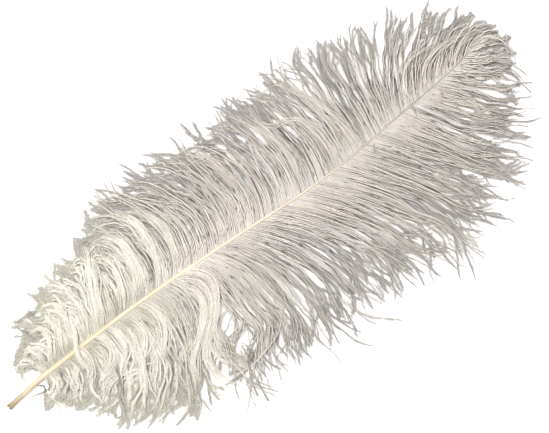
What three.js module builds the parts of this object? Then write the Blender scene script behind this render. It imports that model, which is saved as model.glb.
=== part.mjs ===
// Ostrich plume, lying flat with its back up: one horn shaft (bare quill, then rachis) and a
// loose vane of long soft barbs on each side of it.
// Millimetres. +X runs from the quill to the tip, +Y is the side of the left vane, +Z is up.
import * as THREE from 'three';
import { mergeVertices } from 'three/addons/utils/BufferGeometryUtils.js';

// ---- driving dimensions --------------------------------------------------------------------
const SHAFT_SIDES = 16;
const SHAFT_STEPS = 56;
const QUILL_RADIUS = 2.2;        // bare quill, 4.4 mm across
const QUILL_END_FLARE = 0.12;    // the dry cut end is a little wider
const RACHIS_TIP_RADIUS = 0.32;
const BARE_QUILL = 34;           // length with no barbs on it
const VANE_END = 432;            // last barb, measured along the shaft
const GAP = 0.35;                // air between the shaft and the root of each vane
const RIM_THICKNESS = 1.5;       // barb tips lying on the table
const LOCK_PITCH = 13;           // barbs cling together in locks this wide
const LOCK_NOTCH = 0.1;          // how much shorter the rim is between two locks
const STEPS_PER_LOCK = 3;
const ROWS_ALONG_BARB = 8;

// Centre line of the shaft: it bows a little to the left near the tip and arches off the table.
const shaftLine = new THREE.CatmullRomCurve3([
  [-236, -7.2, 2.33], [-214, -3.9, 3.0], [-192.5, -1.5, 4.3], [-121, 2.8, 7.6], [-49, 3.7, 9.6],
  [22.7, 2.6, 10.0], [66, 4.4, 9.6], [109, 9.4, 8.4], [152, 14.2, 6.2], [178, 18.7, 4.6], [196, 24.6, 3.2],
].map((p) => new THREE.Vector3(...p)), false, 'catmullrom', 0.5);
shaftLine.arcLengthDivisions = 800;
const SHAFT_LENGTH = shaftLine.getLength();

// Half thickness of the shaft against the distance from the quill end.
const SHAFT_RADII = [[0, QUILL_RADIUS], [44, QUILL_RADIUS * 0.97], [120, 1.65], [215, 1.2], [330, 0.75],
  [SHAFT_LENGTH, RACHIS_TIP_RADIUS]];

// How the barbs leave the shaft and curl: distance along the shaft, the barb's angle from the
// shaft's own direction (degrees, towards the tip = 0) at its root, middle and tip, and its length.
const LEFT_BARBS = [
  [34, 60, 125, 180, 30], [54, 50, 90, 120, 50], [86, 58, 85, 112, 59], [130, 54, 96, 136, 76],
  [173, 57, 108, 144, 90], [216, 60, 100, 122, 90], [270, 66, 98, 108, 87], [302, 70, 98, 104, 86],
  [335, 75, 78, 74, 79], [356, 66, 54, 50, 68], [378, 55, 28, 28, 62], [400, 48, 18, 6, 50],
  [416, 40, 4, -16, 38], [432, 32, -16, -44, 26],
];
const RIGHT_BARBS = [
  [34, 58, 118, 160, 35], [54, 58, 112, 142, 58], [76, 60, 114, 133, 70], [108, 60, 114, 128, 86],
  [140, 55, 112, 120, 102], [184, 44, 80, 105, 114], [227, 35, 60, 80, 116], [270, 44, 60, 70, 119],
  [313, 54, 64, 68, 111], [356, 62, 62, 48, 94], [378, 60, 56, 42, 82], [400, 55, 47, 52, 60],
  [432, 30, 34, 66, 30],
];

// ---- reading the tables --------------------------------------------------------------------
function between(table, at, column) {
  let i = 1;
  while (i < table.length - 1 && at > table[i][0]) i += 1;
  const [low, high] = [table[i - 1], table[i]];
  const t = THREE.MathUtils.clamp((at - low[0]) / (high[0] - low[0]), 0, 1);
  return THREE.MathUtils.lerp(low[column], high[column], t);
}

// Position and flat direction of the shaft at a distance along it.
function onShaft(distance) {
  const u = THREE.MathUtils.clamp(distance / SHAFT_LENGTH, 0, 1);
  const point = shaftLine.getPointAt(u);
  const along = shaftLine.getTangentAt(u);
  const side = new THREE.Vector3(-along.y, along.x, 0).normalize();
  const up = new THREE.Vector3().crossVectors(along, side).normalize();
  return { point, along, side, up };
}

// ---- shaft: a tapering round rod bent along its line ----------------------------------------
function makeShaft() {
  const rod = new THREE.CylinderGeometry(1, 1, 1, SHAFT_SIDES, SHAFT_STEPS);
  const place = rod.attributes.position;
  for (let i = 0; i < place.count; i += 1) {
    const distance = (place.getY(i) + 0.5) * SHAFT_LENGTH;
    const { point, side, up } = onShaft(distance);
    const flare = QUILL_END_FLARE * Math.max(0, 1 - distance / 8);
    const radius = between(SHAFT_RADII, distance, 1) + flare;
    point.addScaledVector(up, place.getX(i) * radius).addScaledVector(side, place.getZ(i) * radius);
    place.setXYZ(i, point.x, point.y, point.z);
  }
  return closed(rod);
}

// ---- vane: a block with one side along the shaft and its rows carried out along the barbs -----
function barbPoint(table, hand, distance, fraction) {
  const { point, side } = onShaft(distance);
  const flat = new THREE.Vector3(side.y, -side.x, 0);
  const [root, middle, tip] = [1, 2, 3].map((column) => between(table, distance, column));
  const lockWave = 0.5 - 0.5 * Math.cos((2 * Math.PI * (distance - BARE_QUILL)) / LOCK_PITCH);
  const length = between(table, distance, 4);
  const reach = fraction * (1 - LOCK_NOTCH * (1 - lockWave));
  const start = between(SHAFT_RADII, distance, 1) + GAP;
  const place = point.clone().addScaledVector(side, hand * start);
  const steps = 24;
  for (let i = 0; i < steps; i += 1) {
    const u = ((i + 0.5) / steps) * reach;
    const degrees = root + (4 * middle - 3 * root - tip) * u + (2 * root + 2 * tip - 4 * middle) * u * u;
    const turn = THREE.MathUtils.degToRad(degrees);
    const stride = (length * reach) / steps;
    place.addScaledVector(flat, Math.cos(turn) * stride);
    place.addScaledVector(side, hand * Math.sin(turn) * stride);
  }
  return place;
}

function makeVane(table, hand) {
  const locks = Math.round((VANE_END - BARE_QUILL) / LOCK_PITCH);
  const block = new THREE.BoxGeometry(1, 1, 1, locks * STEPS_PER_LOCK, ROWS_ALONG_BARB, 1);
  const place = block.attributes.position;
  for (let i = 0; i < place.count; i += 1) {
    const distance = THREE.MathUtils.lerp(BARE_QUILL, VANE_END, place.getX(i) + 0.5);
    const fraction = place.getY(i) * hand + 0.5;
    const out = barbPoint(table, hand, distance, fraction);
    const rootHeight = onShaft(distance).point.z;
    const droop = (1 - fraction) ** 1.5;
    const top = RIM_THICKNESS + (rootHeight - RIM_THICKNESS) * droop;
    place.setXYZ(i, out.x, out.y, place.getZ(i) > 0 ? top : 0);
  }
  return closed(block);
}

// One skin with shared corners.
function closed(geometry) {
  geometry.deleteAttribute('normal');
  geometry.deleteAttribute('uv');
  const skin = mergeVertices(geometry, 1e-4);
  skin.computeVertexNormals();
  return skin;
}

// ---- the feather -----------------------------------------------------------------------------
const horn = new THREE.MeshStandardMaterial({ color: 0xece2c8, roughness: 0.45, metalness: 0 });
const softBarbs = new THREE.MeshStandardMaterial({ color: 0xcfc8bf, roughness: 0.9, metalness: 0 });

const feather = new THREE.Group();
const pieces = [
  ['shaft', makeShaft(), horn],
  ['vane_left', makeVane(LEFT_BARBS, 1), softBarbs],
  ['vane_right', makeVane(RIGHT_BARBS, -1), softBarbs],
];
for (const [name, geometry, material] of pieces) {
  const piece = new THREE.Mesh(geometry, material);
  piece.name = name;
  feather.add(piece);
}

// The origin is under the middle of the feather, on the table.
const extent = new THREE.Box3().setFromObject(feather);
const middle = extent.getCenter(new THREE.Vector3());
feather.position.set(-middle.x, -middle.y, -extent.min.z);

export default feather;
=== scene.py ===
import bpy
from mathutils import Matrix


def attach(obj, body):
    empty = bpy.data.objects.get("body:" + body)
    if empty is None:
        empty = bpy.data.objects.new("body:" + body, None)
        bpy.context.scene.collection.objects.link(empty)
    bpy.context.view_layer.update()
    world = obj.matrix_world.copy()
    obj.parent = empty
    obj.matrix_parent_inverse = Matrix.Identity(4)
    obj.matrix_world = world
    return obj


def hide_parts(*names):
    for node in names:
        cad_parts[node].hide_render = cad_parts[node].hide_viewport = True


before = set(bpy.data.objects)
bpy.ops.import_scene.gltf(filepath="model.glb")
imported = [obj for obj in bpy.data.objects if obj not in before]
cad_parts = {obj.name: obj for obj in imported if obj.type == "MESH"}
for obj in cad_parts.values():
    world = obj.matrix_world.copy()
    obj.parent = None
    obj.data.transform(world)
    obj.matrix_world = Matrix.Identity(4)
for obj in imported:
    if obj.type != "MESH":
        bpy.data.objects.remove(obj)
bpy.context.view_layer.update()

import math
from types import SimpleNamespace

import bpy
import numpy as np
from mathutils import Vector

# ---- Shaft ------------------------------------------------------------------------------------
# One rod of horn. The bare round quill sat in the skin and ends in a dry brown cut; past the
# first barbs it runs on as the rachis, which is flatter at the sides and thins to a hair.
MM = 0.001
shaft_points = MM * np.array([
    (-228.4, 0.05, 2.33), (-206.4, 3.35, 3.0), (-184.9, 5.75, 4.3), (-113.4, 10.05, 7.6),
    (-41.4, 10.95, 9.6), (30.3, 9.85, 10.0), (73.6, 11.65, 9.6), (116.6, 16.65, 8.4),
    (159.6, 21.45, 6.2), (185.6, 25.95, 4.6), (203.6, 31.85, 3.2),
])
# Distance from the cut end and the shaft's radius there, both in mm.
shaft_radii = [(0, 2.1), (8, 1.9), (30, 2.0), (50, 2.2), (120, 1.8), (215, 1.42), (330, 0.9), (434.5, 0.3)]


def smooth_line(points, per_gap=60):
    """A smooth line through the points, as many short steps."""
    ends = np.vstack([2 * points[0] - points[1], points, 2 * points[-1] - points[-2]])
    t = np.linspace(0, 1, per_gap, endpoint=False)[:, None]
    line = []
    for a, b, c, d in zip(ends, ends[1:], ends[2:], ends[3:]):
        line.append(0.5 * (2 * b + (c - a) * t + (2 * a - 5 * b + 4 * c - d) * t**2
                           + (3 * b - a - 3 * c + d) * t**3))
    return np.vstack(line + [points[-1:]])


shaft_line = smooth_line(shaft_points)
shaft_measure = np.r_[0, np.cumsum(np.linalg.norm(np.diff(shaft_line, axis=0), axis=1))]
shaft_length = shaft_measure[-1]


def on_shaft(distance):
    """Points of the shaft's middle line, its direction and its left side, at distances along it."""
    behind, point, ahead = (
        np.stack([np.interp(np.add(distance, step), shaft_measure, shaft_line[:, k]) for k in range(3)], -1)
        for step in (-MM, 0, MM))
    along = ahead - behind
    along /= np.linalg.norm(along, axis=-1, keepdims=True)
    side = np.stack([-along[..., 1], along[..., 0], 0 * along[..., 0]], -1)
    side /= np.linalg.norm(side, axis=-1, keepdims=True)
    return point, along, side


def shaft_radius(distance):
    """The shaft's radius at distances along it."""
    table = np.array(shaft_radii) * MM
    return np.interp(distance, table[:, 0], table[:, 1])


def new_piece(name, points, faces, smooth=True):
    """An object in the scene, made of points and faces."""
    mesh = bpy.data.meshes.new(name)
    mesh.from_pydata([tuple(p) for p in points], [], faces)
    mesh.validate()
    for face in mesh.polygons:
        face.use_smooth = smooth
    piece = bpy.data.objects.new(name, mesh)
    bpy.context.scene.collection.objects.link(piece)
    return piece


def make_shaft():
    """Rings of points along the shaft, closest near the cut end, which is torn and hollow."""
    sides = 24
    close_rings, rings = 16, 190
    close_reach = 14 * MM
    distance = np.r_[np.linspace(0, close_reach, close_rings),
                     np.linspace(close_reach + 1.5 * MM, shaft_length, rings)]
    point, along, side = on_shaft(distance)
    up = np.cross(along, side)
    radius = shaft_radius(distance)[:, None]
    turn = np.linspace(0, 2 * np.pi, sides, endpoint=False)[None]
    across, high = np.cos(turn), np.sin(turn)
    # Where the barbs begin, the sides grow flatter and a groove opens along the underside.
    bare_quill, first_vane = 30 * MM, 25 * MM
    vaned = np.clip((distance - bare_quill) / first_vane, 0, 1)[:, None]
    flat_side = 1 - 0.1 * vaned * np.abs(across) ** 6
    groove = 1 - 0.16 * vaned * np.exp(-((turn - 1.5 * np.pi) / 0.35) ** 2)
    ragged = 0.16 * np.sin(3 * turn + 0.7) + 0.1 * np.sin(7 * turn) + 0.07 * np.sin(11 * turn + 2)
    torn_reach = 5 * MM
    torn = np.clip(1 - distance / torn_reach, 0, 1)[:, None] ** 1.5
    wide = radius * (1 + torn * 0.5 * ragged)
    ring = (point[:, None] + side[:, None] * (across * wide * flat_side)[..., None]
            + up[:, None] * (high * wide * groove)[..., None])
    ring -= along[:, None] * (torn * (0.9 * ragged - 0.1) * radius)[..., None]
    # The cut end is open a little way in, so it has an inner wall down to a plug of dry pith: depth
    # in mm, and width as a share of the rim's.
    inner = [on_shaft([depth * MM])[0] + (ring[0] - point[0]) * share
             for depth, share in ((3.4, 0.3), (2.6, 0.55), (1.2, 0.66), (0, 0.72))]
    grid = np.concatenate([inner, ring])
    rows = len(grid)
    points = [*grid.reshape(-1, 3), grid[0].mean(0), grid[-1].mean(0)]
    plug, tip = len(points) - 2, len(points) - 1
    faces = []
    for j in range(sides):
        k = (j + 1) % sides
        for i in range(rows - 1):
            faces.append((i * sides + j, i * sides + k, (i + 1) * sides + k, (i + 1) * sides + j))
        faces.append((plug, k, j))
        faces.append((tip, (rows - 1) * sides + j, (rows - 1) * sides + k))
    return new_piece("shaft_horn", points, faces)


def fill(socket, value):
    """Links a node's socket to another socket, or sets it to a value."""
    if isinstance(value, bpy.types.NodeSocket):
        socket.id_data.links.new(value, socket)
    else:
        socket.default_value = value


def node(tree, kind, sockets=(), **values):
    """A node with its settings, and its sockets by name, filled in."""
    made = tree.nodes.new(kind)
    for name, value in {**values, **dict(sockets)}.items():
        if name in made.inputs:
            fill(made.inputs[name], value)
        else:
            setattr(made, name, value)
    return made


def ramp(tree, stops, factor):
    """A colour ramp over a value, as (place, colour) stops."""
    made = node(tree, "ShaderNodeValToRGB", {"Fac": factor})
    while len(made.color_ramp.elements) < len(stops):
        made.color_ramp.elements.new(0.5)
    for element, (place, colour) in zip(made.color_ramp.elements, stops):
        element.position = place
        element.color = (*colour, 1)
    return made.outputs["Color"]


def mixed(tree, way, share, first, second):
    """Two colours blended, with a share of the second over the first."""
    made = node(tree, "ShaderNodeMix", data_type="RGBA", blend_type=way)
    for number, value in ((0, share), (6, first), (7, second)):
        fill(made.inputs[number], value)
    return made.outputs[2]


def noise(tree, place, **values):
    """Noise of a scale and detail over a place."""
    return node(tree, "ShaderNodeTexNoise", {"Vector": place}, **values).outputs["Fac"]


def horn_material():
    """Pale yellow horn with long fibres in it, browned and dull at the cut end and tan at the tip."""
    material = bpy.data.materials.new("horn")
    material.use_nodes = True
    tree = material.node_tree
    shader = tree.nodes["Principled BSDF"]
    place = node(tree, "ShaderNodeTexCoord").outputs["Object"]
    split = node(tree, "ShaderNodeSeparateXYZ", {"Vector": place})
    reach = node(tree, "ShaderNodeMapRange", {"Value": split.outputs["X"], "From Min": -229 * MM,
                                              "From Max": 204 * MM})
    base = ramp(tree, [
        (0.0, (0.33, 0.22, 0.11)), (0.012, (0.5, 0.4, 0.24)), (0.028, (0.62, 0.53, 0.36)),
        (0.038, (0.84, 0.76, 0.56)), (0.12, (0.85, 0.76, 0.54)), (0.4, (0.83, 0.75, 0.58)),
        (0.62, (0.7, 0.64, 0.53)), (0.8, (0.52, 0.47, 0.42)), (1.0, (0.5, 0.46, 0.42)),
    ], reach.outputs["Result"])
    stretch = node(tree, "ShaderNodeMapping", {"Vector": place, "Scale": (9, 420, 420)})
    fibre = noise(tree, stretch.outputs["Vector"], Scale=1.0, Detail=5.0, Roughness=0.6)
    blotch = noise(tree, place, Scale=60.0, Detail=3.0)
    streaks = ramp(tree, [(0.35, (0.74, 0.68, 0.58)), (0.6, (1, 1, 1))], fibre)
    patches = ramp(tree, [(0.3, (0.86, 0.82, 0.74)), (0.6, (1, 1, 1))], blotch)
    colour = mixed(tree, "MULTIPLY", 0.55, base, streaks)
    rough = node(tree, "ShaderNodeMapRange", {"Value": blotch, "To Min": 0.34, "To Max": 0.58})
    bump = node(tree, "ShaderNodeBump", {"Height": fibre}, Strength=0.35, Distance=0.2 * MM)
    fill(shader.inputs["Base Color"], mixed(tree, "MULTIPLY", 0.6, colour, patches))
    fill(shader.inputs["Roughness"], rough.outputs["Result"])
    fill(shader.inputs["Normal"], bump.outputs["Normal"])
    fill(shader.inputs["Subsurface Weight"], 0.12)
    fill(shader.inputs["Subsurface Radius"], (2 * MM, 1.4 * MM, 0.8 * MM))
    return material


shaft = make_shaft()
shaft.data.materials.append(horn_material())
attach(shaft, "root")
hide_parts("shaft")

# ---- Left vane ----------------------------------------------------------------------------------
# Some four hundred barbs, soft filaments of the same horn, grown out of the side of the rachis
# a millimetre apart. Nothing hooks them together, so they part into strands and locks, which curl
# back towards the quill low down and sweep forward at the tip.

# How the barbs are combed: distance along the shaft in mm, a barb's angle off the shaft at its root,
# middle and tip in degrees (0 points to the feather's tip), and its length in mm.
left_barbs = [
    (34, 85, 140, 185, 24), (46, 62, 112, 150, 39), (62, 52, 90, 122, 52), (86, 58, 87, 116, 60),
    (130, 54, 98, 138, 84), (173, 57, 110, 146, 94), (216, 60, 100, 122, 92), (270, 66, 98, 108, 93),
    (302, 70, 96, 98, 90), (335, 74, 74, 60, 82), (356, 68, 50, 28, 74), (378, 60, 30, 8, 66),
    (400, 52, 16, -18, 51), (416, 40, -4, -50, 32), (428, 20, -34, -92, 22), (433, -5, -52, -115, 17),
]

# Each barb is a line of this many points, and u is how far out a point lies: 0 at the root, 1 at
# the end. The curly down gives way to smooth barbs between two distances along the shaft.
STEPS = 26
u = np.linspace(0, 1, STEPS)[None]
down_ends = (90 * MM, 170 * MM)
curls_end = (90 * MM, 190 * MM)
# No barb comes nearer the table than this, so that the barbules under it stay off the table.
least_height = 1.7 * MM


def ease(x, low, high):
    """Goes smoothly from 0 at the low value to 1 at the high one."""
    x = np.clip((x - low) / (high - low), 0, 1)
    return x * x * (3 - 2 * x)


def barb_lines(distance, combing, hand, lean=0.0, curl=0.0, stretch=1.0):
    """Flat path of each barb as it is combed. Hand is 1 on the left and -1 on the right."""
    combing = np.array(combing, float).T
    root, middle, tip, length = (np.interp(distance / MM, combing[0], values) for values in combing[1:])
    length = length * MM * stretch
    angle = (root[:, None] + (4 * middle - 3 * root - tip)[:, None] * u
             + (2 * root + 2 * tip - 4 * middle)[:, None] * u * u)
    angle = np.radians(angle + np.reshape(lean, (-1, 1)) * u**1.3 + np.reshape(curl, (-1, 1)) * u**4)
    point, _, side = on_shaft(distance)
    flat = np.stack([side[:, 1], -side[:, 0]], -1)
    heading = np.cos(angle)[..., None] * flat[:, None] + hand * np.sin(angle)[..., None] * side[:, None, :2]
    stride = length[:, None, None] / (STEPS - 1)
    walked = np.cumsum((heading[:, 1:] + heading[:, :-1]) / 2 * stride, axis=1)
    start = point[:, :2] + hand * side[:, :2] * (0.8 * shaft_radius(distance))[:, None]
    return start[:, None] + np.concatenate([np.zeros((len(distance), 1, 2)), walked], axis=1)


def cut_up(roots, narrow, wide, rng):
    """Groups neighbours: the number of each one's group, and the middle root of each group."""
    edges = [roots[0]]
    while edges[-1] < roots[-1]:
        edges.append(edges[-1] + rng.uniform(narrow, wide) * MM)
    group = np.searchsorted(edges, roots, side="right") - 1
    used, group = np.unique(group, return_inverse=True)
    middles = np.array([roots[group == g].mean() for g in range(len(used))])
    return group, middles


def root_row(combing, pitch, rng):
    """A row of roots a pitch apart, sorted into strands and locks. Downy is 1 in the down, 0 past it."""
    roots = np.arange(combing[0][0], combing[-1][0], pitch) * MM
    roots = np.sort(roots + rng.uniform(-0.4, 0.4, len(roots)) * pitch * MM)
    strand, strand_roots = cut_up(roots, 1.3 * pitch, 3.4 * pitch, rng)
    lock, lock_roots = cut_up(strand_roots, 4, 11, rng)
    return SimpleNamespace(roots=roots, barbs=len(roots), downy=1 - ease(roots, *down_ends)[:, None],
                           strand=strand, strand_roots=strand_roots, strands=len(strand_roots),
                           lock=lock[strand], lock_roots=lock_roots, locks=len(lock_roots))


def comb(row, combing, hand, lean, curl, lock_curl, hidden, reach, rng):
    """Flat paths of a row of barbs, bent by lock, by strand and one by one; some hang under the others."""
    curly_locks = 1 + 1.6 * (1 - ease(row.lock_roots, *curls_end))
    curly = 1 + (1 - ease(row.strand_roots, *curls_end))
    plain_locks = barb_lines(row.lock_roots, combing, hand, stretch=reach)
    bent_locks = barb_lines(row.lock_roots, combing, hand,
                            curly_locks * rng.normal(0, lock_curl * 0.3, row.locks),
                            curly_locks * rng.normal(0, lock_curl, row.locks),
                            reach * rng.uniform(0.96, 1.04, row.locks))
    plain_strands = barb_lines(row.strand_roots, combing, hand, stretch=reach)
    bent_strands = barb_lines(row.strand_roots, combing, hand,
                              curly * rng.normal(0, lean, row.strands),
                              curly * rng.normal(0, curl, row.strands),
                              reach * rng.uniform(0.8, 1.04, row.strands))
    bent_barbs = barb_lines(row.roots, combing, hand,
                            rng.normal(0, 4, row.barbs),
                            rng.normal(0, 18, row.barbs),
                            reach * rng.uniform(0.82, 1.02, row.barbs))
    row.under = rng.random((row.barbs, 1)) < hidden * rng.uniform(0.4, 1.6, (row.strands, 1))[row.strand]

    # A barb clings to its strand from near its root on, most of all at the feather's tip, and parts
    # from it a little at its end. Strands draw together into locks in the same way.
    out = u[..., None]
    outer = ease(row.strand_roots, 300 * MM, 380 * MM)[:, None, None]
    cling = rng.uniform(0.35, 0.9, row.strands)[:, None, None] * ease(out, 0.12, 0.6)
    cling = cling + 0.35 * outer * ease(out, 0.3, 0.8) * (1 - cling)
    cling = (cling * (1 - 0.4 * (1 - outer) * ease(out, 0.75, 1)))[row.strand]
    path = bent_strands[row.strand] + (bent_barbs - plain_strands[row.strand]) * (1 - cling)
    gather = (rng.uniform(0, 0.12, row.locks)[:, None, None] * ease(out, 0.35, 1))[row.lock]
    path = bent_locks[row.lock] + (path - plain_locks[row.lock]) * (1 - gather)

    # A slow waver that a lock shares, one of each strand, and a finer one of each barb: its width
    # in mm, and its shortest and longest wave on a barb of 90 mm.
    waver_length = 90
    for width, shortest, longest, member, many in (
            (1.2 * (1 + row.downy[..., None]), 40, 65, row.lock, row.locks),
            (1.1, 22, 40, row.strand, row.strands),
            (0.4, 9, 20, np.arange(row.barbs), row.barbs)):
        phase = rng.uniform(0, 2 * np.pi, (many, 1, 2))[member]
        wave = rng.uniform(shortest, longest, (many, 1, 1))[member]
        path = path + width * MM * out * np.sin(2 * np.pi * (out * waver_length) / wave + phase)
    return path


def raise_up(row, lift, rng):
    """Height of a row of barbs: off the shaft, up with lock and strand, and down to the table."""
    downy, under = row.downy, row.under
    row.lock_lift = rng.uniform(-0.8, 2.6, (row.locks, 1))[row.lock] * (1 + 0.4 * downy)
    row.strand_lift = rng.uniform(-0.6, 2.4, (row.strands, 1))[row.strand] * (1 - 0.4 * downy)
    own_lift = np.where(under, rng.uniform(-3, -1.5, under.shape), rng.uniform(-0.6, 0.6, under.shape))
    own_lift = own_lift * (1 - 0.5 * downy)
    # A lock is highest along its middle, most of all in the down.
    off_middle = np.abs(row.roots - row.lock_roots[row.lock])
    off_middle /= np.maximum([off_middle[row.lock == n].max() for n in range(row.locks)], MM)[row.lock]
    row.ridge = (0.6 - off_middle**2)[:, None] * (0.25 + 0.95 * downy)
    lifts = row.lock_lift + row.strand_lift + lift - 1 + 2 * row.ridge + own_lift
    root_height = on_shaft(row.roots)[0][:, 2:3]
    height = root_height * (1 - u) ** 1.25 + MM + MM * lifts * 4 * u * (1 - u)
    return np.maximum(height, least_height + 0.5 * MM * downy)


def tone(row, pale, rim, uneven, tip_grey, rng):
    """How light each point of a row of barbs is: 0 the greyest, 1 ivory."""
    downy, under = row.downy, row.under
    # Lift light and tone: a lock or strand lifted higher is painted lighter and a lower one darker (painted
    # light and shade); the rest is random tone by lock, strand and barb.
    lift_light_and_tone = (0.02 * row.lock_lift + rng.normal(0, 0.03, (row.locks, 1))[row.lock] * (1 + 2 * downy)
             + 0.02 * row.strand_lift
             + rng.normal(0, 0.06, (row.strands, 1))[row.strand] * (uneven + 0.8 * downy)
             + rng.normal(0, 0.17, (row.barbs, 1)) * uneven * (1 - 0.95 * downy))
    # Barbs grey towards their ends, and those underneath get painted shade, greyer where they hang below
    # the others; the down is lighter.
    cream = 0.88 - 0.3 * ease(u, 0.5, 1) - 0.26 * (1 - 0.75 * downy) * under * ease(u, 0.1, 0.45)
    cream = 1 - (1 - cream) * (1 - 0.55 * downy * (1 - ease(u, 0.5, 0.85)))
    cream -= tip_grey * ease(row.roots, 200 * MM, 330 * MM)[:, None]
    # Painted light and shade: the crest of a lock is painted lighter and its sides darker, as if lit from
    # above with shade between locks. The down is greyer at its rim, and painted darker at its foot, painted
    # shade that sets off the bright locks laid over it.
    cream += (0.3 + 0.65 * downy) * row.ridge * ease(u, 0.1, 0.4) * (1 - 0.8 * ease(u, 0.65, 0.95))
    cream -= 0.36 * downy * (1 - ease(u, 0.6, 0.9)) + (rim + 0.14) * downy * ease(u, 0.74, 0.92)
    # Painted light and shade by layer: further out along each barb, top barbs are painted lighter and barbs
    # underneath darker, the more so the more uneven the layer.
    painted_light_by_layer = np.where(under, -0.4, 0.25 - 0.2 * ease(u, 0.7, 1)) * ease(u, 0.35, 0.8)
    cream += (uneven - 1) * painted_light_by_layer * (1 - downy)
    # In the down, barbs underneath get more painted shade along most of their length.
    cream -= 0.4 * downy * under * ease(u, 0.1, 0.35) * (1 - ease(u, 0.7, 0.9))
    # Here and there a barb underneath gets a dark stretch: painted shadow, as seen in the gaps between
    # barbs.
    painted_shadow_dash = (rng.random((row.barbs, STEPS)) < 0.14) & under
    cream -= 0.8 * painted_shadow_dash * ease(u, 0.06, 0.14) * (1 - ease(u, 0.7, 0.85)) * (1 - 0.85 * downy)
    # On top, close to the shaft, short stretches of barbs are painted dark: painted shadow that stands for
    # gaps between barbs.
    painted_gap_shadow = (rng.random((row.barbs, STEPS)) < 0.038) & ~under
    cream -= 1.6 * painted_gap_shadow * ease(u, 0.04, 0.1) * (1 - ease(u, 0.5, 0.65)) * (1 - 0.7 * downy)
    darkest = 0.12 * downy + 0.33 * ease(u, 0.45, 0.85)
    darkest = darkest + 0.1 * ease(row.roots, 230 * MM, 330 * MM)[:, None] * ease(u, 0.5, 0.85)
    return np.clip(cream + lift_light_and_tone + pale, darkest, 1.15 + 0.25 * downy)


def grow_layer(combing, hand, seed, pitch=0.95, lean=6.5, curl=24, lock_curl=7, lift=1.0, pale=0.0,
               hidden=0.3, reach=1.0, rim=0.2, uneven=1.0, tip_grey=0.1):
    """Barbs of one layer of a vane: their points, and what each point is like.

    Roots lie a pitch apart in mm. Lean and curl bend the strands, and lock_curl the locks, by that
    many degrees or so either way. Lift raises the layer in mm, hidden is the share of barbs that hang
    under the others and get painted shade, and reach is a share of the combed lengths. Pale lightens
    the whole layer, rim greys the end of the down, uneven sets barb off from barb by random tone and
    by painted light and shade between top and under barbs, and tip_grey greys the feather's tip.
    """
    rng = np.random.default_rng(seed)
    row = root_row(combing, pitch, rng)
    path = comb(row, combing, hand, lean, curl, lock_curl, hidden, reach, rng)
    height = raise_up(row, lift, rng)
    cream = tone(row, pale, rim, uneven, tip_grey, rng)
    downy, under = row.downy, row.under
    # Girth is a barb's radius and fringe the reach of its barbules. Crisp sets the barb off from them,
    # and warm tints it.
    girth = MM * np.where(under, 0.19, 0.36) * (1 - 0.35 * u) * (0.72 + 0.28 * ease(u, 0.08, 0.25))
    fringe = MM * (0.6 + 0.6 * ease(u, 0, 0.25)) * np.where(under, 1.4, 1)
    fringe = fringe * (1 + 0.3 * ease(u, 0.55, 0.9)) * (1 - 0.5 * ease(u, 0.95, 1))
    crisp = np.clip((cream - 0.3) / 0.45, 0, 1.3) * (0.45 + 0.55 * ease(u, 0.08, 0.35))
    warm = rng.normal(0.5, 0.35, (row.strands, 1))[row.strand] + rng.normal(0, 0.15, (row.barbs, 1))
    return {"root": row.roots, "points": np.concatenate([path, height[..., None]], axis=-1),
            "cream": cream, "girth": girth * (1 - 0.45 * downy), "fringe": fringe * (1 + 0.4 * downy),
            "crisp": crisp * (1 - 0.9 * downy), "warm": np.clip(warm, 0, 1) * np.ones_like(u)}


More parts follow.
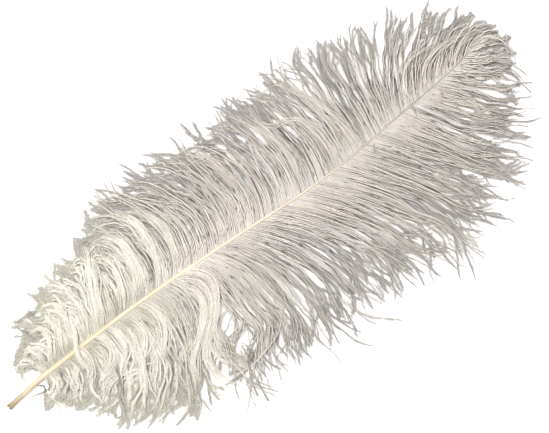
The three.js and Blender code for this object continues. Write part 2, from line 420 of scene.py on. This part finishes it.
def laid_lock(path, barbs, spread, seed, pale):
    """Barbs that run together along a way of their own, over the others: (x, y) in mm from the origin."""
    rng = np.random.default_rng(seed)
    line = smooth_line(MM * np.array(path, float), 12)
    measure = np.r_[0, np.cumsum(np.linalg.norm(np.diff(line, axis=0), axis=1))]
    ragged = 0.34
    out = u * rng.uniform(1 - ragged, 1, (barbs, 1))
    x, y = (np.interp(out * measure[-1], measure, line[:, k]) for k in range(2))
    away = np.abs(y - np.interp(x, shaft_line[:, 0], shaft_line[:, 1]))
    # A lock leaves the height of the shaft and is down on the table this far from it.
    down_by = 95 * MM
    high = np.interp(x, shaft_line[:, 0], shaft_line[:, 2]) * np.clip(1 - away / down_by, 0, 1)
    high += MM * (1.5 + min(barbs, 12) * 0.4 * np.sin(np.pi * np.minimum(out * 1.2, 1)))
    points = np.stack([x, y, high], -1)
    along = np.gradient(points, axis=1)
    side = np.stack([-along[..., 1], along[..., 0], 0 * along[..., 0]], -1)
    side /= np.linalg.norm(side, axis=-1, keepdims=True)
    # Every five barbs or so keep together as one strand; a fifth of them lie below in the shade.
    strands = max(1, barbs // 5)
    strand = rng.integers(0, strands, barbs)
    place, wander, fan = rng.normal(0, 1, (3, strands, 1))[:, strand] + rng.normal(0, 0.62, (3, barbs, 1))
    phase = rng.uniform(0, 2 * np.pi, (strands, 1))[strand] + rng.normal(0, 0.6, (barbs, 1))
    # Here the down ends by its place in x.
    down_ends_x = (-75 * MM, -25 * MM)
    loose = 1.4 - 0.4 * ease(path[0][0] * MM, *down_ends_x)
    waver = wander * 0.8 * np.sin(2 * np.pi * out * 1.7 + phase) * out
    off = (place * (1.4 - 0.6 * out) + waver + fan * 2.4 * out**3) * loose
    shaded = rng.random((barbs, 1)) < 0.2
    points = points + side * (MM * spread * off)[..., None]
    sunk = 1.6 * shaded + 0.6 * np.abs(off) * min(spread, 2)
    points[..., 2] += MM * (rng.uniform(-0.6, 0.6, (barbs, 1)) - sunk)
    points[..., 2] = np.maximum(points[..., 2], least_height + 0.3 * MM)
    downy = 1 - ease(points[..., 0], *down_ends_x)
    # Painted shade: barbs out at a lock's sides, which hang lower, and the shaded fifth below are painted
    # darker.
    cream = pale - 0.22 * ease(np.abs(off), 0.9, 2.4) - (0.5 - 0.3 * downy) * shaded
    cream = (cream - 0.25 * ease(out, 0.6, 1) + rng.normal(0, 0.08, (strands, 1))[strand]
             + rng.normal(0, 0.08, (barbs, 1)) + 0.25 * downy * ease(pale, 0.6, 0.9))
    warm = rng.normal(0.6, 0.3, (barbs, 1)) + 0.1 * downy
    return {"root": np.full(barbs, path[0][0] * MM - shaft_points[0, 0]), "points": points,
            "cream": np.clip(cream, 0.32 * ease(out, 0.3, 0.6), 1.4),
            "girth": MM * (0.28 - 0.12 * downy) * (1 - 0.3 * out),
            "fringe": MM * (0.5 + 0.4 * ease(out, 0, 0.25)) * (1 + 0.45 * downy),
            "crisp": 1 - 0.85 * downy, "warm": np.clip(warm, 0, 1)}


def parted(layer, openings):
    """Pushes barbs aside round openings: (x, y, turn, half length, half width), in mm and degrees."""
    for x, y, turn, long, wide in openings:
        ahead = np.array([math.cos(math.radians(turn)), math.sin(math.radians(turn))])
        across = np.array([-ahead[1], ahead[0]])
        away = layer["points"][..., :2] - MM * np.array([x, y])
        forward = (away @ ahead) / (MM * long)
        sideways = (away @ across) / (MM * wide)
        # A barb goes wholly to the side on which its nearest stretch lies.
        near = np.exp(-forward**2 - np.abs(sideways) / 6)
        off = (sideways * near).sum(1, keepdims=True) / (near.sum(1, keepdims=True) + 1e-9)
        push = MM * wide * np.tanh(off / 0.2) * np.exp(-np.abs(off) / 2.5)
        bow = np.exp(-((forward / 1.2) ** 2) - np.abs(sideways) / 12)
        layer["points"][..., :2] += (push * bow)[..., None] * across
    return layer


def lines_object(name, grown, chosen):
    """The chosen barbs as a mesh of open lines, for the tree below to clothe."""
    points = grown["points"][chosen]
    barbs, steps = points.shape[:2]
    index = np.arange(barbs * steps).reshape(barbs, steps)
    edges = np.stack([index[:, :-1], index[:, 1:]], -1).reshape(-1, 2)
    mesh = bpy.data.meshes.new(name)
    mesh.from_pydata(points.reshape(-1, 3).tolist(), edges.tolist(), [])
    for key in ("cream", "girth", "fringe", "crisp", "warm"):
        values = mesh.attributes.new(key, "FLOAT", "POINT")
        values.data.foreach_set("value", grown[key][chosen].ravel().astype(np.float32))
    piece = bpy.data.objects.new(name, mesh)
    bpy.context.scene.collection.objects.link(piece)
    return piece


def barb_tree():
    """Clothes lines with round barbs and a fringe of barbules on both sides of each."""
    tree = bpy.data.node_groups.new("barbs_and_barbules", "GeometryNodeTree")
    face = tree.interface
    face.new_socket("Lines", in_out="INPUT", socket_type="NodeSocketGeometry")
    for name, kind, value in (("Barbule spacing", "NodeSocketFloat", 0.6 * MM),
                              ("Barbule width", "NodeSocketFloat", 0.42),
                              ("Barbule angle", "NodeSocketFloat", 0.8),
                              ("Roll", "NodeSocketFloat", 0.6),
                              ("Seed", "NodeSocketInt", 1),
                              ("Material", "NodeSocketMaterial", None)):
        made = face.new_socket(name, in_out="INPUT", socket_type=kind)
        if value is not None:
            made.default_value = value
    face.new_socket("Feather", in_out="OUTPUT", socket_type="NodeSocketGeometry")
    start = node(tree, "NodeGroupInput").outputs
    end = node(tree, "NodeGroupOutput")

    def named(name):
        """A number stored on the lines."""
        made = node(tree, "GeometryNodeInputNamedAttribute", data_type="FLOAT", Name=name)
        return made.outputs["Attribute"]

    def stored(name, geometry, value):
        """A number stored on each point."""
        made = node(tree, "GeometryNodeStoreNamedAttribute", {"Geometry": geometry, "Value": value},
                    data_type="FLOAT", domain="POINT", Name=name)
        return made.outputs["Geometry"]

    def reckon(kind, first, second):
        """Arithmetic with two sockets or numbers."""
        made = node(tree, "ShaderNodeMath", operation=kind)
        fill(made.inputs[0], first)
        fill(made.inputs[1], second)
        return made.outputs[0]

    def chance(low, high, number):
        """A random number between two values for each point, drawn by the seed and a number."""
        made = node(tree, "FunctionNodeRandomValue", {"Seed": reckon("ADD", start["Seed"], number)},
                    data_type="FLOAT")
        fill(made.inputs[2], low)
        fill(made.inputs[3], high)
        return made.outputs[1]

    curves = node(tree, "GeometryNodeMeshToCurve", {"Mesh": start["Lines"]})
    upright = node(tree, "GeometryNodeSetCurveNormal", {"Curve": curves.outputs["Curve"]}, mode="Z_UP")
    section = node(tree, "GeometryNodeCurvePrimitiveCircle", Resolution=3, Radius=1.0)
    tubes = node(tree, "GeometryNodeCurveToMesh", {
        "Curve": upright.outputs["Curve"], "Scale": named("girth"),
        "Profile Curve": section.outputs["Curve"], "Fill Caps": True})
    # A crisp barb is lighter than its barbules.
    lighter = reckon("MULTIPLY", named("crisp"), 0.32)
    parts = [stored("cream", tubes.outputs["Mesh"], reckon("ADD", named("cream"), lighter))]

    dots = node(tree, "GeometryNodeCurveToPoints", {"Curve": upright.outputs["Curve"],
                                                    "Length": start["Barbule spacing"]}, mode="LENGTH")
    turned = node(tree, "FunctionNodeAxesToRotation", {"Primary Axis": dots.outputs["Tangent"],
                                                       "Secondary Axis": dots.outputs["Normal"]},
                  primary_axis="X", secondary_axis="Y")

    # One barbule: a sliver whose foot lies on the barb and whose tip leans towards the barb's end.
    sliver = node(tree, "GeometryNodeMeshCircle", Vertices=3, Radius=1.0, fill_type="NGON")
    point = node(tree, "GeometryNodeInputIndex").outputs["Index"]
    corner = node(tree, "GeometryNodeIndexSwitch", {"Index": point}, data_type="VECTOR")
    corner.index_switch_items.new()
    half_foot = reckon("MULTIPLY", start["Barbule width"], 0.5)
    corners = ((reckon("MULTIPLY", half_foot, -1.0), 0.0), (half_foot, 0.0),
               (reckon("COSINE", start["Barbule angle"], 0.0), reckon("SINE", start["Barbule angle"], 0.0)))
    for place, (x, y) in enumerate(corners):
        spot = node(tree, "ShaderNodeCombineXYZ", {"X": x, "Y": y})
        fill(corner.inputs[place + 1], spot.outputs[0])
    shaped = node(tree, "GeometryNodeSetPosition", {"Geometry": sliver.outputs["Mesh"],
                                                    "Position": corner.outputs["Output"]})
    barbule = stored("outward", shaped.outputs["Geometry"], reckon("GREATER_THAN", point, 1.5))

    for number, hand in enumerate((1.0, -1.0)):
        roll = chance(reckon("MULTIPLY", start["Roll"], -1.0), start["Roll"], number)
        tilt = node(tree, "ShaderNodeCombineXYZ", {"X": roll, "Z": chance(-0.3, 0.3, number + 10)})
        lean = node(tree, "FunctionNodeEulerToRotation", {"Euler": tilt.outputs[0]})
        both = node(tree, "FunctionNodeRotateRotation", {"Rotation": turned.outputs["Rotation"],
                                                         "Rotate By": lean.outputs[0]},
                    rotation_space="LOCAL")
        reach = reckon("MULTIPLY", named("fringe"), chance(0.7, 1.15, number + 20))
        size = node(tree, "ShaderNodeCombineXYZ", {"X": reach, "Y": reckon("MULTIPLY", reach, hand),
                                                   "Z": reach})
        darker = reckon("MULTIPLY", named("crisp"), chance(-0.8, 0.0, number + 30))
        fringe = node(tree, "GeometryNodeInstanceOnPoints", {
            "Points": stored("cream", dots.outputs["Points"], reckon("ADD", named("cream"), darker)),
            "Instance": barbule, "Rotation": both.outputs["Rotation"], "Scale": size.outputs[0]})
        parts.append(fringe.outputs["Instances"])
    whole = node(tree, "GeometryNodeJoinGeometry")
    for part in reversed(parts):
        tree.links.new(part, whole.inputs[0])
    real = node(tree, "GeometryNodeRealizeInstances", {"Geometry": whole.outputs[0]})
    dressed = node(tree, "GeometryNodeSetMaterial", {"Geometry": real.outputs[0],
                                                     "Material": start["Material"]})
    fill(end.inputs["Feather"], dressed.outputs[0])
    return tree


def down_material(name):
    """Undyed barbs: ivory where they are thick, greyer towards the thin ends."""
    material = bpy.data.materials.new(name)
    material.use_nodes = True
    tree = material.node_tree
    shader = tree.nodes["Principled BSDF"]
    cream, outward, warm = (node(tree, "ShaderNodeAttribute", attribute_name=key).outputs["Fac"]
                            for key in ("cream", "outward", "warm"))

    def faded(loss):
        """How light the barb is there, less a loss at the tips of its barbules."""
        made = node(tree, "ShaderNodeMath", operation="MULTIPLY_ADD")
        for socket, value in zip(made.inputs, (outward, -loss, cream)):
            fill(socket, value)
        return made.outputs[0]

    # Grey with a little pink in it further out, ivory in the down near the quill.
    grey_pink = ramp(tree, [
        (0.0, (0.13, 0.115, 0.105)), (0.12, (0.34, 0.322, 0.312)), (0.3, (0.46, 0.438, 0.424)),
        (0.55, (0.66, 0.62, 0.59)), (0.8, (0.88, 0.828, 0.78)), (1.0, (0.98, 0.928, 0.872)),
    ], faded(0.22))
    ivory = ramp(tree, [
        (0.0, (0.18, 0.165, 0.125)), (0.12, (0.38, 0.368, 0.348)), (0.3, (0.5, 0.482, 0.447)),
        (0.55, (0.69, 0.672, 0.565)), (0.8, (0.89, 0.862, 0.755)), (1.0, (0.985, 0.97, 0.9)),
    ], faded(0.1))
    place = node(tree, "ShaderNodeTexCoord").outputs["Object"]
    split = node(tree, "ShaderNodeSeparateXYZ", {"Vector": place})
    outer_half = node(tree, "ShaderNodeMapRange", {"Value": split.outputs["X"], "From Min": -130 * MM,
                                                   "From Max": -30 * MM})
    colour = mixed(tree, "MIX", outer_half.outputs["Result"], ivory, grey_pink)
    tint = mixed(tree, "MIX", warm, (0.985, 0.975, 0.985, 1), (1, 0.99, 0.945, 1))
    colour = mixed(tree, "MULTIPLY", 1.0, colour, tint)
    tufts = noise(tree, place, Scale=800.0, Detail=2.0)
    tufted = ramp(tree, [(0.38, (0.7, 0.69, 0.68)), (0.6, (1, 1, 1))], tufts)
    colour = mixed(tree, "MULTIPLY", 0.5, colour, tufted)
    clouds = noise(tree, place, Scale=140.0, Detail=3.0)
    cloudy = ramp(tree, [(0.3, (0.84, 0.83, 0.82)), (0.65, (1, 1, 1))], clouds)
    fill(shader.inputs["Base Color"], mixed(tree, "MULTIPLY", 0.7, colour, cloudy))
    fill(shader.inputs["Roughness"], 0.75)
    fill(shader.inputs["Specular IOR Level"], 0.3)
    return material


feather_tree = barb_tree()


def clothe(lines, material, seed):
    """Runs the tree on the lines and leaves one plain mesh."""
    values = {"Seed": seed, "Material": material}
    modifier = lines.modifiers.new("barbs", "NODES")
    modifier.node_group = feather_tree
    for item in feather_tree.interface.items_tree:
        if item.in_out == "INPUT" and item.name in values:
            modifier[item.identifier] = values[item.name]
    bpy.context.view_layer.update()
    ready = lines.evaluated_get(bpy.context.evaluated_depsgraph_get())
    mesh = bpy.data.meshes.new_from_object(ready)
    lines.modifiers.remove(modifier)
    old = lines.data
    lines.data = mesh
    bpy.data.meshes.remove(old)
    return lines


def make_vane(side, layers, parts, slot, seed):
    """The layers of a vane as a few pieces, each between two distances along the shaft in mm."""
    grown = {key: np.concatenate([layer[key] for layer in layers]) for key in layers[0]}
    material = down_material(slot)
    for number, (name, first, last) in enumerate(parts):
        chosen = (grown["root"] >= first * MM) & (grown["root"] < last * MM)
        piece = clothe(lines_object(f"{side}_{name}", grown, chosen), material, seed + 100 * number)
        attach(piece, "root")
        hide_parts("vane_" + side)


# Low down, shorter and curlier down lies over the long barbs.
left_down = [
    (36, 80, 150, 250, 21), (52, 62, 125, 230, 36), (78, 56, 112, 200, 50), (110, 54, 104, 185, 60),
    (150, 52, 98, 170, 66), (190, 54, 98, 150, 64), (225, 56, 98, 140, 58),
]
# Locks laid one by one over the left side, most of them bright. One crosses the quill. Each has its
# way from the root in mm, its number of barbs, its spread in mm and how light it is.
left_locks = [
    ([(-143, 11), (-136, 21), (-132, 32), (-127, 43), (-122, 52), (-118, 60), (-116, 67)], 24, 1.3, 1.1),
    ([(-137, 12), (-132, 22), (-128, 33), (-125, 45), (-125, 54), (-128, 59), (-134, 58)], 18, 1.6, 1.0),
    ([(-109, 13), (-102, 21), (-97, 30), (-96, 40), (-97, 51), (-102, 59), (-111, 62),
      (-120, 59)], 24, 1.5, 1.05),
    ([(-119, 13), (-113, 22), (-109, 31), (-108, 40), (-110, 50), (-115, 56), (-121, 54)], 19, 1.4, 0.98),
    ([(-88, 13), (-82, 21), (-79, 32), (-77, 44), (-77, 55), (-81, 65), (-88, 72),
      (-98, 73)], 21, 1.5, 1.0),
    ([(-70, 13), (-65, 24), (-63, 36), (-63, 49), (-67, 61), (-75, 70), (-84, 75)], 19, 1.5, 0.92),
    ([(-161, 10), (-157, 20), (-154, 30), (-154, 39), (-157, 45), (-163, 47), (-170, 43)], 19, 1.5, 1.0),
    ([(-153, 10), (-147, 22), (-144, 33), (-144, 43), (-148, 50), (-155, 53)], 16, 1.5, 0.95),
    ([(-184, 10), (-178, 18), (-175, 26), (-177, 33), (-183, 34), (-187, 30)], 18, 1.5, 0.95),
    ([(-189, 11), (-187, 19), (-189, 25), (-195, 26), (-202, 23)], 14, 1.4, 0.9),
    ([(-173, 10), (-168, 20), (-165, 30), (-167, 37), (-173, 39)], 16, 1.5, 1.0),
    ([(-152, 36), (-156, 27), (-159, 18), (-164, 8), (-167, -1), (-166, -9), (-162, -15),
      (-156, -20)], 13, 0.7, 1.2),
    ([(88, 14), (87, 29), (84, 44), (78, 58), (70, 69), (62, 81), (56, 92)], 11, 2.6, 1.12),
    ([(67, 13), (69, 27), (68, 41), (63, 52), (53, 59), (42, 62), (37, 70), (38, 82),
      (38, 95)], 8, 2.3, 1.02),
    ([(34, 13), (37, 28), (38, 45), (33, 62), (26, 76), (18, 86)], 10, 2.4, 1.12),
    ([(-8, 13), (-3, 29), (-1, 45), (-4, 61), (-12, 74), (-22, 82)], 12, 2.6, 1.12),
    ([(136, 21), (135, 29), (139, 38), (146, 45), (156, 48), (169, 49), (182, 49), (192, 50)], 9, 3.1, 1.0),
    ([(154, 22), (155, 30), (161, 36), (170, 40), (181, 43), (192, 42), (198, 40)], 8, 2.9, 0.98),
    ([(174, 26), (177, 32), (183, 37), (193, 39), (202, 39), (211, 35)], 7, 1.4, 1.0),
    ([(195, 29), (203, 30), (211, 25), (215, 19), (218, 10), (220, 1)], 8, 1.8, 0.98),
    ([(182, 34), (183, 30), (184, 24), (184, 18)], 2, 0.2, 1.0),
    ([(-173, 46), (-180, 47), (-186, 47), (-190, 47)], 3, 0.5, 0.4),
    ([(-186, 30), (-188, 37), (-191, 42), (-192, 46), (-193, 49), (-193, 49), (-192, 49)], 2, 0.25, 0.4),
    ([(41, 18), (46, 31), (47, 43), (45, 55), (41, 64), (39, 76), (40, 88)], 6, 1.8, 1.12),
    ([(57, 17), (60, 28), (58, 36), (53, 44)], 2, 0.3, 1.15),
    ([(13, 17), (15, 34), (19, 47), (20, 60), (19, 74)], 4, 1.4, 1.12),
]
# The main layer, the one under it, greyed with painted shade, the down over its foot and a few strays on
# top.
left_layers = [
    grow_layer(left_barbs, hand=1, seed=11, lean=5.5, lock_curl=5, pale=-0.06, hidden=0.36, uneven=1.8,
               tip_grey=0.15),
    grow_layer(left_barbs, hand=1, seed=13, pitch=1.25, lean=8, curl=30, lift=-1.5, pale=-0.1, hidden=1,
               reach=0.98, tip_grey=0.15),
    grow_layer(left_down, hand=1, seed=12, pitch=0.85, lean=6, lock_curl=12, pale=-0.03, hidden=0, rim=0),
    grow_layer(left_barbs, hand=1, seed=14, pitch=5, lean=13, curl=30, lift=2.2, pale=0.04, hidden=0,
               rim=0),
]
left_layers += [laid_lock(way, many, spread, seed, pale)
                for seed, (way, many, spread, pale) in enumerate(left_locks, start=300)]
left_parts = [("base", 0, 95), ("low", 95, 150), ("middle", 150, 230), ("high", 230, 330),
              ("tip", 330, 500)]
make_vane("left", left_layers, left_parts, slot="barbs_left", seed=11)

# ---- Right vane -----------------------------------------------------------------------------------
# The same barbs on the other side of the rachis, about a third longer and looser: the locks hang
# apart at their ends, and leave openings between them.
right_barbs = [
    (34, 85, 135, 165, 22), (46, 62, 120, 150, 35), (60, 58, 112, 138, 52), (80, 60, 114, 132, 75),
    (108, 60, 114, 128, 95), (140, 55, 112, 120, 106), (184, 44, 80, 105, 118), (227, 35, 60, 80, 126),
    (270, 44, 60, 70, 128), (313, 54, 64, 68, 123), (356, 62, 62, 48, 94), (378, 60, 56, 42, 73),
    (400, 55, 46, 52, 53), (416, 46, 44, 62, 38), (428, 34, 46, 76, 27), (433, 15, 50, 92, 20),
]
right_down = [
    (36, 80, 150, 220, 22), (52, 62, 130, 190, 34), (78, 58, 122, 160, 52), (110, 58, 120, 150, 70),
    (150, 54, 114, 140, 80), (185, 48, 92, 130, 82),
]
# Over them a thick bright lock hangs bent and splits towards its end. Grey ends stray beside it and
# at the rim, one wisp loops beside the quill, and a few short barbs beside the shaft are dark.
right_locks = [
    ([(-204, 4), (-202, 1), (-199, -1), (-200, -4), (-203, -4), (-208, -3), (-213, -2)], 2, 0.15, 0.35),
    ([(-136, 9), (-133, 0), (-133, -9), (-138, -17), (-146, -23), (-155, -27)], 19, 1.5, 1.0),
    ([(-107, 9), (-103, 0), (-103, -10), (-107, -19), (-114, -26), (-122, -30), (-130, -39),
      (-139, -49)], 24, 1.4, 1.15),
    ([(-119, 8), (-115, -1), (-115, -11), (-121, -20), (-130, -27), (-139, -34),
      (-148, -42)], 19, 1.8, 0.95),
    ([(-153, 9), (-147, 4), (-144, -4), (-146, -12), (-152, -18), (-161, -20), (-169, -20)], 19, 1.6, 1.0),
    ([(-167, 9), (-163, 3), (-162, -5), (-165, -11), (-172, -14), (-179, -14)], 14, 1.5, 0.92),
    ([(-147, -23), (-156, -24), (-165, -29), (-170, -36)], 14, 1.4, 0.95),
    ([(-141, -19), (-136, -24), (-130, -27), (-122, -29)], 2, 0.2, 1.1),
    ([(-75, 4), (-69, -2), (-67, -10), (-69, -18), (-73, -25),
      (-79, -30), (-87, -37), (-95, -43), (-102, -50), (-107, -60), (-115, -68)], 24, 1.2, 1.3),
    ([(-76, 11), (-66, 4), (-60, -4), (-61, -14), (-67, -24), (-76, -33), (-85, -42), (-91, -53),
      (-91, -66), (-88, -79), (-87, -88)], 21, 1.2, 1.25),
    ([(-68, 11), (-59, 5), (-54, -4), (-57, -14), (-64, -24), (-73, -34), (-77, -44), (-72, -54),
      (-64, -63), (-61, -74)], 19, 1.2, 1.15),
    ([(-69, -29), (-78, -37), (-82, -46), (-81, -57), (-75, -66), (-70, -74)], 11, 1.0, 0.9),
    ([(-78, -32), (-87, -38), (-96, -42), (-106, -48), (-113, -57), (-120, -64)], 13, 1.5, 0.95),
    ([(-18, -44), (-29, -56), (-37, -64), (-50, -69), (-65, -72), (-82, -73)], 6, 0.4, 0.9),
    ([(-63, -57), (-65, -69), (-70, -76), (-75, -88), (-77, -99)], 3, 0.5, 0.4),
    ([(-67, -59), (-69, -70), (-69, -80), (-69, -91), (-68, -103)], 3, 0.5, 0.4),
    ([(-61, -58), (-60, -66), (-58, -74), (-57, -81), (-57, -89)], 3, 0.5, 0.4),
    ([(-63, -61), (-63, -70), (-64, -77), (-66, -86)], 3, 0.5, 0.4),
    ([(-28, -68), (-35, -72), (-43, -76), (-49, -79)], 3, 0.5, 0.4),
    ([(134, 18), (133, 13), (132, 8)], 2, 0.25, 0.1),
    ([(158, 16), (157, 12), (156, 7)], 2, 0.25, 0.05),
    ([(96, 11), (94, 7), (90, 3)], 2, 0.3, 0.05),
    ([(174, 20), (183, 15), (192, 8), (202, 3)], 6, 0.4, 0.95),
    ([(160, 20), (168, 12), (173, 3), (174, -7), (175, -17), (181, -24)], 8, 1.8, 0.98),
    ([(175, 6), (181, -2), (185, -10), (192, -17), (203, -22), (213, -27)], 4, 0.5, 0.5),
    ([(175, -4), (181, -11), (189, -17), (195, -24), (203, -29), (211, -34)], 4, 0.5, 0.5),
    ([(175, -10), (181, -18), (188, -26), (197, -30), (206, -34)], 3, 0.4, 0.5),
    ([(174, -16), (182, -23), (189, -31), (197, -37), (207, -42)], 4, 0.5, 0.5),
    ([(197, 1), (204, -5), (210, -12), (215, -15), (219, -18)], 2, 0.3, 0.45),
    ([(188, -2), (195, -10), (200, -14), (205, -18)], 4, 0.5, 0.5),
    ([(202, 5), (206, -4), (209, -14), (212, -24)], 2, 0.3, 0.4),
    ([(202, 8), (208, 1), (211, -8), (212, -18)], 2, 0.3, 0.4),
    ([(203, 11), (209, 5), (213, -2), (217, -12)], 3, 0.4, 0.4),
    ([(173, -24), (182, -32), (191, -37), (198, -45)], 3, 0.4, 0.45),
    ([(-31, 4), (-24, -8), (-18, -20), (-15, -34), (-15, -48), (-15, -64), (-18, -76)], 10, 2.8, 0.86),
    ([(-38, 2), (-31, -11), (-28, -25), (-27, -39), (-30, -52), (-33, -62)], 8, 2.2, 0.86),
    ([(-18, -58), (-17, -75), (-14, -91), (-9, -106)], 4, 0.6, 0.45),
    ([(-1, -72), (4, -89), (9, -101), (15, -111)], 4, 0.6, 0.45),
    ([(-28, -60), (-31, -76), (-38, -94)], 3, 0.5, 0.45),
    ([(13, -69), (22, -87), (32, -99), (43, -105)], 4, 0.8, 0.5),
    ([(157, -36), (167, -47), (178, -57), (185, -65)], 4, 0.8, 0.5),
    ([(146, -44), (156, -58), (163, -68), (166, -79)], 4, 0.8, 0.5),
    ([(139, -50), (147, -64), (151, -76), (159, -83)], 3, 0.6, 0.5),
    ([(-108, -27), (-114, -30), (-122, -32), (-130, -29), (-138, -23)], 3, 0.3, 1.2),
]
# Where the barbs part: the middle of each opening in mm, its turn in degrees, its half length and
# half width in mm.
openings = [
    (-61.3, -39.6, 236, 9, 8), (-59.7, -57.2, -90, 9, 8), (201, 20, -29, 9, 2), (198, -3, -36, 9, 3),
    (190, -10, -45, 13, 3), (196, -22, -33, 15, 2.5), (96, -44, -69, 12, 2), (111, -51, -66, 10, 2),
    (169, -53, -36, 9, 1.6),
]
right_layers = [
    grow_layer(right_barbs, hand=-1, seed=23, uneven=1.2, tip_grey=0.05),
    grow_layer(right_barbs, hand=-1, seed=25, pitch=1.35, lean=8, curl=30, lift=-1.5, pale=-0.04, hidden=1,
               reach=0.9, tip_grey=0.05),
    grow_layer(right_down, hand=-1, seed=24, pitch=0.85, lean=6, lock_curl=12, pale=0.08, hidden=0, rim=0),
    grow_layer(right_barbs, hand=-1, seed=26, pitch=5, lean=13, curl=30, lift=2.2, pale=0.08, hidden=0,
               rim=0),
]
right_layers = [parted(layer, openings) for layer in right_layers]
right_layers += [laid_lock(way, many, spread, seed, pale)
                 for seed, (way, many, spread, pale) in enumerate(right_locks, start=400)]
right_parts = [("base", 0, 92), ("low", 92, 145), ("middle", 145, 205), ("high", 205, 285),
               ("tip", 285, 500)]
make_vane("right", right_layers, right_parts, slot="barbs_right", seed=23)

# ---- Table, light and camera ------------------------------------------------------------------------
# The feather lies on a plain white table, a flat sheet without an edge in sight just under the
# lowest barbs. It is lit softly from beyond its left vane and seen from above.
table_reach = 3
table_top = -0.6 * MM
floor = new_piece("table", [(table_reach * x, table_reach * y, table_top)
                            for x, y in ((-1, -1), (1, -1), (1, 1), (-1, 1))], [(0, 1, 2, 3)], smooth=False)
white = bpy.data.materials.new("white_table")
white.use_nodes = True
table_shader = white.node_tree.nodes["Principled BSDF"]
fill(table_shader.inputs["Base Color"], (0.86, 0.86, 0.86, 1))
fill(table_shader.inputs["Roughness"], 0.9)
fill(table_shader.inputs["Emission Color"], (1, 1, 1, 1))
fill(table_shader.inputs["Emission Strength"], 0.3)
floor.data.materials.append(white)

lamp_place = (-0.1, 0.4, 1.55)
lamp_light = bpy.data.lights.new("key", "AREA")
lamp_light.size = 0.6
lamp_light.energy = 26
lamp = bpy.data.objects.new("key", lamp_light)
lamp.location = lamp_place
lamp.rotation_euler = (-Vector(lamp_place)).to_track_quat("-Z", "Y").to_euler()
bpy.context.scene.collection.objects.link(lamp)

world = bpy.data.worlds.new("room")
bpy.context.scene.world = world
world.use_nodes = True
room_light = world.node_tree.nodes["Background"]
fill(room_light.inputs["Color"], (1, 1, 1, 1))
fill(room_light.inputs["Strength"], 0.42)

# From the camera the shaft runs up to the right, 34 degrees off level. The view's width is that at
# the height of the barbs.
camera_height = 1.4
barb_height = 6 * MM
view_middle = (7.62 * MM, 7.25 * MM)
view_width = 395.3 * MM
shaft_turn = math.radians(34)
sensor_width = 36
camera = bpy.data.objects.new("camera", bpy.data.cameras.new("camera"))
camera.location = (*view_middle, camera_height)
camera.rotation_euler = (0, 0, -shaft_turn)
camera.data.sensor_width = sensor_width
camera.data.lens = sensor_width * (camera_height - barb_height) / view_width
camera.data.clip_start = 0.05
bpy.context.scene.collection.objects.link(camera)
bpy.context.scene.camera = camera
bpy.context.scene.view_settings.view_transform = "Standard"
bpy.context.scene.cycles.filter_width = 1.1
